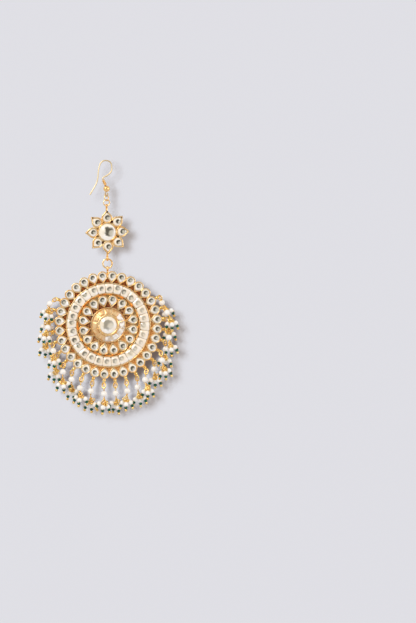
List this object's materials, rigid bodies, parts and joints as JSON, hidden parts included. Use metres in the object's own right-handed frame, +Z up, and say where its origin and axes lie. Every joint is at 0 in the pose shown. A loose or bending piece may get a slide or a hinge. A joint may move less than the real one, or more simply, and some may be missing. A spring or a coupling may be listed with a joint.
{
  "type": "chandbali earring",
  "caption": "Chandbali earring on an ear wire: a stone-set flower over a round stone-set medallion fringed with bead drops.",
  "frame": {"origin": "inside top of the ear wire's bend, where it hangs in the ear", "axes": "+Z up, +X to the viewer's right as the earring is seen from its face, the face toward -Y"},
  "size_m": [0.0705, 0.0093, 0.1257],
  "materials": {
    "gold": "polished, warm yellow",
    "polki": "flat-cut foiled stone, ivory",
    "pearl": "pearl lustre",
    "green_bead": "polished, deep green"
  },
  "bodies": {
    "ear_hook": {"ear_wire": "gold", "wire_coil": "gold", "wire_bead": "gold", "hook_link": "gold"},
    "link": {"drop_link": "gold"},
    "flower": {"flower_setting": "gold", "flower_stone": "polki", "petal_stone_1": "polki", "petal_stone_2": "polki", "petal_stone_3": "polki", "petal_stone_4": "polki", "petal_stone_5": "polki", "petal_stone_6": "polki", "petal_stone_7": "polki", "petal_stone_8": "polki"},
    "ring": {"pendant_ring": "gold"},
    "medallion": {"medallion_setting": "gold", "centre_stone": "polki", "collar_stones": "polki", "inner_stones": "polki", "channel_stones": "polki", "outer_stones": "polki", "drop_wires": "gold", "cluster_pearls": "pearl", "drop_pearl_1": "pearl", "drop_pearl_2": "pearl", "drop_pearl_3": "pearl", "drop_pearl_4": "pearl", "drop_pearl_5": "pearl", "drop_pearl_6": "pearl", "drop_pearl_7": "pearl", "drop_pearl_8": "pearl", "drop_pearl_9": "pearl", "drop_pearl_10": "pearl", "drop_pearl_11": "pearl", "drop_pearl_12": "pearl", "drop_pearl_13": "pearl", "drop_pearl_14": "pearl", "drop_pearl_15": "pearl", "drop_pearl_16": "pearl", "drop_pearl_17": "pearl", "drop_pearl_18": "pearl", "drop_pearl_19": "pearl", "drop_pearl_20": "pearl", "drop_pearl_21": "pearl", "drop_pearl_22": "pearl"}
  },
  "joints": [
    {"name": "flower_swing_front", "type": "hinge", "parent": "ear_hook", "child": "link", "pos_m": [0, 0, -0.0192], "axis": [1, 0, 0], "range_deg": [-45, 45]},
    {"name": "flower_swing_side", "type": "hinge", "parent": "link", "child": "flower", "pos_m": [0, 0, -0.0207], "axis": [0, 1, 0], "range_deg": [-40, 40]},
    {"name": "medallion_swing_front", "type": "hinge", "parent": "flower", "child": "ring", "pos_m": [0, 0, -0.04886], "axis": [1, 0, 0], "range_deg": [-45, 45]},
    {"name": "medallion_swing_side", "type": "hinge", "parent": "ring", "child": "medallion", "pos_m": [0, 0, -0.05116], "axis": [0, 1, 0], "range_deg": [-40, 40]}
  ]
}
